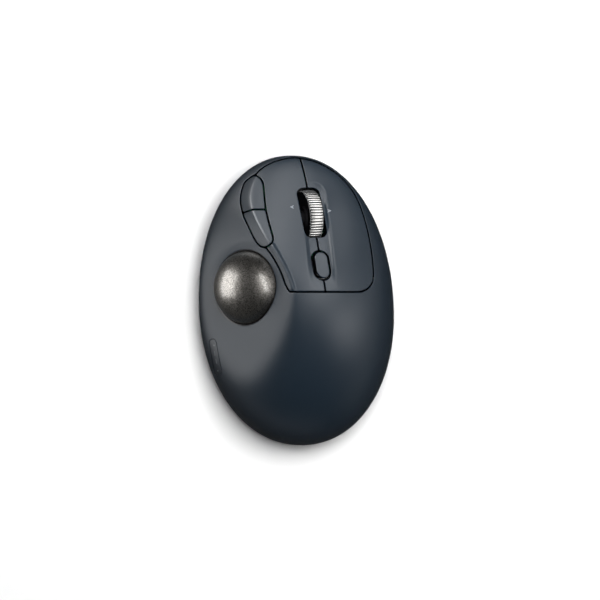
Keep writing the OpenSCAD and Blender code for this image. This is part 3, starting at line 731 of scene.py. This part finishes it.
def egg_ring(step):
    """The chart's points along the rim, counter-clockwise."""
    a = np.radians(np.arange(0, 360, step))
    c, s = np.cos(a), np.sin(a)
    length = np.where(s > 0, NOSE_LENGTH, HEEL_LENGTH)
    return np.stack([
        np.sign(c) * abs(c) ** (2 / EGG_POWER) * HALF_WIDTH, np.sign(s) * abs(s) ** (2 / EGG_POWER) * length
    ], 1)


def flank_chart(ring, z):
    """The chart's points below the rim's points ring, at the height z."""
    rim = from_chart(ring)[:, 2]
    return ring * (1 + FLANK_SPAN * (rim - z) / (rim - BASE_Z))[:, None]


def parting_edge():
    """The upper casing's lower edge, all round."""
    ring, radius = egg_ring(0.75), 0.25
    charts = [flank_chart(ring, PARTING_Z + back) for _, back, _ in quarter(radius)]
    return Edge(charts, [drop for _, _, drop in quarter(radius)], np.tile([0, 0, -1.0], (len(ring), 1)))


def lip(x, y):
    """The left key's rolled edge: it rises from the seam to the crest and drops behind it."""
    d = x - crest_x(y) - 0.3
    ends = smooth((y - 2) / 4) * (1 - smooth((y - 24) / 5))
    return 0.9 * ends * smooth((d + 2.8) / 2.8) * (1 - smooth(d / 1.9))


def brow(x, y):
    """The right key's crown beside the wheel's channel."""
    d = x - 17.6 + 0.11 * y
    ends = smooth((y - 6) / 10) * (1 - smooth((y - 40) / 14))
    return 0.9 * ends * smooth((d + 2.4) / 3.2) * np.exp(-np.maximum(d - 0.8, 0) / 6)


def make_casing():
    hole = shifted(round_off(keys_hole(), 0.5), SEAM / 2)
    holes = [
        plan_edge(hole, CASING_FILLET, 1), ball_edge(OPENING_FILLET), plan_edge(lens_outline(0), LENS_GAP, 1)
    ]
    top = build_plate("casing_top", parting_edge(), holes, 1.0, "housing", CASING, lift=collar)
    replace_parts(top, "top_shell")
    rim = plan_edge(lens_outline(-LENS_GAP), LENS_GAP, -1)
    lens = build_plate("battery_window", rim, [], 0.5, "housing", WINDOW,
                       lift=lambda x, y: flush(x, y) - LENS_DROP)
    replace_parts(lens, "indicator_lens")


def make_keys():
    for side, name, node, lift, spacing in ((-1, "main_key_left", "left_button", lip, 0.36),
                                            (1, "main_key_right", "right_button", brow, 0.42)):
        outline = shifted(round_off(key_outline(side), 0.45), -SEAM / 2)
        body = node.split("_")[0] + "_key"
        rim = plan_edge(outline, KEY_FILLET, -1)
        key = build_plate(name, rim, [], spacing, body, KEYS, lift=lift, depth=KEY_DEPTH)
        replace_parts(key, node)
    for front, name, body, node in ((True, "side_key_front", "forward_key", "forward_button"),
                                    (False, "side_key_rear", "back_key", "back_button")):
        outline = shifted(round_off(side_outline(front), 0.6), -SEAM / 2)
        rim = plan_edge(outline, SIDE_KEY_FILLET, -1)
        key = build_plate(name, rim, [], 0.16, body, KEYS, lift=side_ridge)
        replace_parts(key, node)
    # The gap is wider behind the key and on its left.
    outline = resample(lean_to_plan(slot_outline(SPEED_L - 0.7, SPEED_W - 1.1, SPEED_Y) + [0.5, 0.25]), 0.3)
    rim = plan_edge(outline, SPEED_KEY_FILLET, -1)
    key = build_plate("speed_key", rim, [], 0.4, "speed_key", KEYS,
                      lift=lambda x, y: flush(x, y) + SPEED_KEY_RISE)
    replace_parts(key, "speed_button")


def make_print(name, outlines, body, height, material, lift=flush):
    """Thin printed marks that follow the skin."""
    shells = []
    for outline in outlines:
        chart = to_chart(outline)
        top, n = surface(chart, lift), surface_normals(chart, lift)
        shells.append(loft([top + n * (height - 0.15), top + n * height]))
    return make_solid(name, shells, body, material)


def arrow(x, y, side):
    p = np.array([[1.0, 0], [-0.7, 0.85], [-0.35, 0], [-0.7, -0.85]]) * [side, 1]
    return np.array([x, y]) + (p if side > 0 else p[::-1])


def make_marks():
    """The arrows beside the wheel, and the window's dots and dashes."""
    make_print("tilt_mark_left", [arrow(-1.9, 41.7, -1)], "left_key", 0.05, MARK)
    make_print("tilt_mark_right", [arrow(14.6, 40.0, 1)], "right_key", 0.16, MARK, brow)
    dot = arc(0, 0, 0.42, 0, 350, 15)
    dashes = [slot_outline(2.2, 0.28, y) for y in (1.7, -1.9)]
    shapes = [dot + [0.4, 5.3], *dashes, dot * 0.9 + [-0.1, -6.2]]
    make_print("window_marks", [turned(q, *LENS_AT) for q in shapes], "housing", 0.03, FAINT_MARK)


make_casing()
make_keys()
make_marks()


# ---------------------------------------------------------------- base
def circle(x, y, r):
    return arc(x, y, r, 0, 352, 8)


# Each foot's place, turn, length and width.
FEET = [
    [-18, 48, -52, 17, 7],
    [14, 49, 52, 17, 7],
    [-29, -18, 14, 17, 7],
    [30, -18, -12, 17, 7],
    [0, -55, 90, 20, 6],
]
SCREWS = [[-29.5, 34], [35.6, 8], [-27, -36], [24, -38]]
RECEIVER = (-12, -40)
SLIDER = (14, -14)
PAIRING = (-8, -20)
SLIDER_TRAVEL = 4
# The holes: the length along Y and the width of the slots, and the radius of the round ones.
RECEIVER_BAY = (15.2, 19.4)
SLIDER_WINDOW = (3.4, 8.4)
PAIRING_HOLE_R = 2.7
EJECT_HOLE_R = 4.5
SCREW_HOLE_R = 2.55
FOOT_GAP = 0.15


def foot_outline(foot, margin):
    x, y, turn, length, width = foot
    return turned(slot_outline(length + 2 * margin, width + 2 * margin), x, y, turn)


def make_base():
    top_z, edge_r, lead = PARTING_Z - 0.15, 1.1, 0.25
    ring = egg_ring(1.5)

    def flank(z, back):
        p = from_chart(flank_chart(ring, z))[:, :2]
        return at_height(p - outward(p) * back, z)
    rows = [flank(z, 0) for z in np.linspace(top_z, BASE_Z + edge_r, 7)]
    rows += [flank(BASE_Z + edge_r * (1 - math.sin(a)), edge_r * (1 - math.cos(a)))
             for a in np.radians(np.arange(15, 91, 15))]
    inner = [flank(FLOOR_Z, WALL), flank(top_z, WALL)]
    bay = turned(slot_outline(*RECEIVER_BAY, 0, 0.8), *RECEIVER)
    slot = turned(slot_outline(*SLIDER_WINDOW, 0, 0.6), SLIDER[0] + SLIDER_TRAVEL / 2, SLIDER[1])
    through = [bay, slot, circle(*PAIRING, PAIRING_HOLE_R), circle(*BALL_AT[:2], EJECT_HOLE_R)]
    through += [circle(x, y, SCREW_HOLE_R) for x, y in SCREWS]
    pockets = [foot_outline(f, FOOT_GAP) for f in FEET]
    bottom = rows[-1][:, :2]
    widened = [p + outward(p) * lead for p in through + pockets]
    points, faces, total = [], [], 0

    def add(loop):
        nonlocal total
        points.append(loop)
        total += len(loop)
        return np.arange(total - len(loop), total)

    def strip(a, b):
        n = len(a)
        faces.extend((int(a[i]), int(a[(i + 1) % n]), int(b[(i + 1) % n]), int(b[i])) for i in range(n))

    def plane(outer, holes, z, spacing):
        verts, tris, where, counts = triangulate(outer, holes, spacing)
        base = add(at_height(verts, z))
        faces.extend(tuple(int(base[i]) for i in t) for t in tris)
        loops, first = [], 0
        for n in counts:
            loops.append(base[where[first:first + n]])
            first += n
        return loops
    under = plane(bottom, widened, BASE_Z, 4)
    floor = plane(inner[0][:, :2], through, FLOOR_Z, 4)
    skirt = [add(r) for r in rows[:-1]] + [under[0]]
    for a, b in zip(skirt, skirt[1:]):
        strip(a, b)
    wall_top = add(inner[1])
    strip(floor[0], wall_top)
    strip(wall_top, skirt[0])
    for k, p in enumerate(through):
        rim = add(at_height(p, BASE_Z + lead))
        strip(under[1 + k], rim)
        strip(rim, floor[1 + k])
    for k, p in enumerate(pockets):
        rim = add(at_height(p, BASE_Z + lead))
        strip(under[1 + len(through) + k], rim)
        strip(rim, plane(p, [], BASE_Z + 0.6, 4)[0])
    base = make_object("casing_base", np.concatenate(points), faces, "housing", CASING)
    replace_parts(base, "base_shell")


def make_feet():
    r, top = 0.4, BASE_Z + 0.5
    shells = []
    for foot in FEET:
        outline = foot_outline(foot, 0)
        n = outward(outline)
        loops = [at_height(outline - n * r * (1 - math.cos(a)), r * (1 - math.sin(a)))
                 for a in np.radians(np.arange(90, -1, -15))]
        shells.append(loft([*loops, at_height(outline, top)]))
    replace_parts(make_solid("foot_pads", shells, "housing", RUBBER), "rubber_feet")


def ribbed_bar(x, y, z, length, width, height, ribs, groove):
    """A bar with grooves across its lower face. It is extruded along Y with bevelled ends."""
    pitch = length / ribs
    t = np.linspace(0, ribs, ribs * 12 + 1)
    low = groove * (0.5 - 0.5 * np.cos(2 * np.pi * t)) ** 0.7
    profile = np.concatenate([
        np.stack([t * pitch - length / 2, low], 1), [[length / 2, height * 0.5], [length / 2, height]],
        [[-length / 2, height], [-length / 2, height * 0.5]]
    ])
    middle = profile.mean(0)
    loops = []
    for place, shrink in ((-1, 0.25), (-1 + 0.5 / width, 0), (1 - 0.5 / width, 0), (1, 0.25)):
        scale = 1 - shrink * 2 / np.array([length, height])
        p = middle + (profile - middle) * scale
        loops.append(np.stack([x + p[:, 0], np.full(len(p), y + place * width / 2), z + p[:, 1]], 1))
    return loft(loops)


def block(x, y, z, length, width, height, r):
    """A box with rounded upright edges and small bevels: x, y is its middle and z its lower face."""
    outline = turned(slot_outline(width, length, 0, r), x, y)
    n = outward(outline)
    b = min(0.2, height / 4)
    steps = [(0, b), (b, 0), (height - b, 0), (height, b)]
    return loft([at_height(outline - n * back, z + rise) for rise, back in steps])


def make_underside():
    x, y = SLIDER
    grip = ribbed_bar(x, y, BASE_Z + 0.3, 4, 3, 2, 5, 0.3)
    plate = block(x, y, FLOOR_Z + 0.05, 6, 5.6, 0.9, 0.4)
    finger = block(x, y, FLOOR_Z + 0.9, 1.4, 1.4, 1.1, 0.15)
    knob = make_solid("power_knob", [grip, plate, finger], "slider", GREY)
    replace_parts(knob, "power_slider")
    x, y = PAIRING
    z = BASE_Z + 0.3
    dished_face = [(0.05, z + 0.35), (0.9, z + 0.3), (1.6, z + 0.12), (2.0, z)]
    rounded_rim = [(2.3, z + 0.06), (2.46, z + 0.22), (2.5, z + 0.4)]
    flange = [(2.5, FLOOR_Z + 0.05), (3.4, FLOOR_Z + 0.05), (3.5, FLOOR_Z + 0.15), (3.5, FLOOR_Z + 0.85)]
    shell = loft([at_height(circle(x, y, r), h) for r, h in dished_face + rounded_rim + flange])
    knob = make_solid("pairing_knob", [shell], "pairing_key", GREY)
    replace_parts(knob, "pairing_button")
    left = RECEIVER[0] - 9.3
    grip = ribbed_bar(left + 3.3, RECEIVER[1], BASE_Z + 0.3, 6.6, 14.4, 6, 6, 0.35)
    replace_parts(make_solid("receiver_grip", [grip], "receiver", BLACK), "receiver_cap")


make_base()
make_feet()
make_underside()


# ---------------------------------------------------------------- ball
def make_ball():
    bm = bmesh.new()
    bmesh.ops.create_cube(bm, size=2)
    bmesh.ops.subdivide_edges(bm, edges=bm.edges[:], cuts=47, use_grid_fill=True)
    points = []
    for v in bm.verts:
        # An even spread over the sphere from the cube's grid.
        x, y, z = v.co
        points.append([
            x * math.sqrt(max(0, 1 - y * y / 2 - z * z / 2 + y * y * z * z / 3)),
            y * math.sqrt(max(0, 1 - z * z / 2 - x * x / 2 + z * z * x * x / 3)),
            z * math.sqrt(max(0, 1 - x * x / 2 - y * y / 2 + x * x * y * y / 3)),
        ])
    bm.verts.index_update()
    faces = [tuple(v.index for v in f.verts) for f in bm.faces]
    bm.free()
    p = np.array(points)
    p /= np.linalg.norm(p, axis=1)[:, None]
    normals = [p[i] for f in faces for i in f]
    ball = make_object("thumb_ball", BALL_AT + p * BALL_LOOK_R, faces, "ball", BALL, normals)
    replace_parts(ball, "trackball")


make_ball()


# ---------------------------------------------------------------- scroll wheel
WHEEL_RIBS = 30
# A face deeper than this below the rib tops belongs to a groove and gets the groove's painted shade.
GROOVE_FROM = 0.3


def lathe_in_lean(name, profile, angles, body, material, depth_at=None):
    """A closed ring turned about the wheel's axle. profile is a closed list of (along the axle, radius)."""
    points, faces = [], []
    n = len(profile)
    for i, a in enumerate(angles):
        for x, r in profile:
            r = r - depth_at(x, r, i) if depth_at else r
            points.append(WHEEL_AT + LEAN_X * x + LEAN_Y * r * math.cos(a) + LEAN_Z * r * math.sin(a))
        for j in range(n):
            far = (i + 1) % len(angles) * n
            faces.append((i * n + j, i * n + (j + 1) % n, far + (j + 1) % n, far + j))
    return make_object(name, points, faces, body, material)


def rib_pattern():
    """One rib's steps, as place along the pitch and depth: a low crown, a groove, a tall crown, a groove."""
    low = [(p, 0.15 + 0.1 * (p / 0.14) ** 2) for p in np.linspace(-0.14, 0.14, 5)]
    tall = [(0.5 + p, 0.1 * (p / 0.15) ** 2) for p in np.linspace(-0.15, 0.15, 5)]
    return [*low, (0.19, 0.5), (0.25, 0.62), (0.31, 0.5), *tall, (0.69, 0.5), (0.75, 0.62), (0.81, 0.5)]


def make_rim():
    # The rim is a little narrower than the CAD's, so that it clears the keys when it tilts.
    half, inner = WHEEL_W / 2 - 0.12, 11.12
    barrel = [(x, WHEEL_R - 0.32 * (x / half) ** 2) for x in np.linspace(-half + 0.3, half - 0.3, 13)]
    left_edge = [(-half, WHEEL_R - 0.75), (-half + 0.08, WHEEL_R - 0.5)]
    right_edge = [(-x, r) for x, r in left_edge[::-1]]
    bore = [(half, inner + 0.15), (half - 0.15, inner), (-half + 0.15, inner), (-half, inner + 0.15)]
    profile = [*left_edge, *barrel, *right_edge, *bore]
    pattern = rib_pattern()
    pitch = 2 * math.pi / WHEEL_RIBS
    angles = [(k + place) * pitch for k in range(WHEEL_RIBS) for place, _ in pattern]
    depths = [depth for _, depth in pattern] * WHEEL_RIBS

    def cut(x, r, i):
        return depths[i] * min(1, (half - abs(x)) * 2 + 0.35) if r > inner + 0.3 else 0
    rim = lathe_in_lean("wheel_ribbed_rim", profile, angles, "scroll_wheel", RIB_METAL, cut)
    rim.data.materials.append(GROOVE_SHADE_METAL)
    for face in rim.data.polygons:
        # The grooves get a darker metal than the crowns: painted shade for the occlusion in them.
        face.material_index = int(max(depths[v // len(profile)] for v in face.vertices) > GROOVE_FROM)
    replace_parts(rim, "wheel_rim")


def make_hub():
    side = WHEEL_W / 2 - 0.42
    boss = [(-4.1, 1.05), (-4.1, 2.8), (-3.9, 3), (-side + 0.9, 3.2)]
    collar_ring = [(-side + 0.9, 4.2), (-side + 0.2, 4.5), (-side, 4.8), (-side + 1.0, 5.2)]
    web = [(-side + 1.0, 9.4), (-side + 0.4, 9.8), (-side + 0.4, 11.0), (-side + 0.5, 11.1)]
    left = boss + collar_ring + web
    right = [(-x, r) for x, r in left[::-1]]
    turn = np.radians(np.arange(0, 360, 2.5))
    hub = lathe_in_lean("wheel_hub_disc", left + right, turn, "scroll_wheel", BLACK)
    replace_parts(hub, "wheel_hub")


make_rim()
make_hub()

# ---------------------------------------------------------------- carried-over CAD nodes
FINISH = {
    "casing": CASING, "keys": KEYS, "inner_plastic": BLACK, "small_parts": BLACK, "underside_controls": GREY,
    "steel": STEEL, "rib_metal": RIB_METAL, "ball": BALL, "window": WINDOW, "rubber": RUBBER
}
for entry in frame["record"]["subparts"]:
    node = frame["nodes"][entry["node"]]
    if entry["material_slot"] in FINISH and not node.hide_render:
        node.data.materials.clear()
        node.data.materials.append(FINISH[entry["material_slot"]])

# ---------------------------------------------------------------- floor, light and camera
FLOOR_REACH = 6.0


def make_stage():
    mesh = bpy.data.meshes.new("floor")
    corners = [(x * FLOOR_REACH, y * FLOOR_REACH, 0) for x, y in ((-1, -1), (1, -1), (1, 1), (-1, 1))]
    mesh.from_pydata(corners, [], [(0, 1, 2, 3)])
    floor = bpy.data.objects.new("floor", mesh)
    bpy.context.scene.collection.objects.link(floor)
    m, _, shader = node_material("floor_white")
    shader.inputs["Base Color"].default_value = (0.92, 0.92, 0.92, 1)
    shader.inputs["Roughness"].default_value = 0.9
    shader.inputs["Specular IOR Level"].default_value = 0.1
    mesh.materials.append(m)
    floor.visible_glossy = False


def softbox(name, place, target, size, power, colour=(1, 1, 1)):
    light = bpy.data.lights.new(name, "AREA")
    light.shape = "RECTANGLE"
    light.size, light.size_y = size
    light.energy = power
    light.color = colour
    obj = bpy.data.objects.new(name, light)
    obj.location = place
    obj.rotation_euler = (Vector(target) - Vector(place)).to_track_quat("-Z", "Y").to_euler()
    bpy.context.scene.collection.objects.link(obj)
    return obj


make_stage()
world = bpy.data.worlds.new("studio")
bpy.context.scene.world = world
world.use_nodes = True
world.node_tree.nodes["Background"].inputs["Color"].default_value = (1, 1, 1, 1)
world.node_tree.nodes["Background"].inputs["Strength"].default_value = 0.06
# The overhead light whitens the floor and throws the soft shadow. The others are seen as reflections only.
overhead = softbox("overhead", (0.2, 0.24, 0.95), (0, 0, 0), (0.72, 0.72), 15)
overhead.visible_glossy = False


def reflected(name, azimuth, elevation, size, power, pieces, only):
    """A softbox seen as a reflection, by the pieces only or by everything but the pieces."""
    turn, rise = math.radians(azimuth), math.radians(elevation)
    place = (math.cos(rise) * math.cos(turn), math.cos(rise) * math.sin(turn), math.sin(rise) + 0.02)
    box = softbox(name, place, (0, 0, 0.02), size, power)
    box.visible_diffuse = False
    group = bpy.data.collections.new(name + "_receivers")
    for piece in pieces:
        group.objects.link(bpy.data.objects[piece])
    for entry in group.collection_objects:
        entry.light_linking.link_state = "INCLUDE" if only else "EXCLUDE"
    box.light_linking.receiver_collection = group


SHINY = ["thumb_ball", "wheel_hub_disc", "wheel_ribbed_rim"]
for name, azimuth, elevation, power in (
    ("left_box", 180, 13, 2.8), ("front_left_box", 135, 25, 11.8), ("front_box", 90, 38, 3.4),
    ("front_right_box", 45, 40, 3.4), ("right_box", 0, 31, 2.5)
):
    reflected(name, azimuth, elevation, (0.42, 0.42), power, SHINY, False)
reflected("rear_glow", 245, 4, (1.8, 0.26), 0.6, ["thumb_ball"], False)
reflected("right_glow", 350, 5, (1.4, 0.26), 0.6, ["thumb_ball"], False)
reflected("front_right_glow", 40, 4, (1.2, 0.26), 0.4, ["thumb_ball"], False)
reflected("ball_left_box", 170, 12, (1.15, 1.0), 14, ["thumb_ball"], True)
reflected("ball_right_box", 20, 46, (1.0, 0.26), 4.9, ["thumb_ball"], True)
reflected("wheel_box", 0, 44, (3.4, 0.5), 5.4, ["wheel_ribbed_rim"], True)
reflected("wheel_front_box", 80, 26, (2.2, 1.0), 10, ["wheel_ribbed_rim"], True)
reflected("wheel_rear_box", 280, 32, (2.2, 0.7), 6, ["wheel_ribbed_rim"], True)

camera_data = bpy.data.cameras.new("camera")
camera_data.lens = 300
camera_data.sensor_width = 36
camera_data.clip_end = 50
camera = bpy.data.objects.new("camera", camera_data)
# The view is this wide at this height, about the middle of the casing.
view_width, view_z = 0.2688, 0.02
camera.location = (0.0016, 0.0002, view_z + view_width * camera_data.lens / camera_data.sensor_width)
bpy.context.scene.collection.objects.link(camera)
bpy.context.scene.camera = camera
bpy.context.scene.view_settings.view_transform = "Standard"
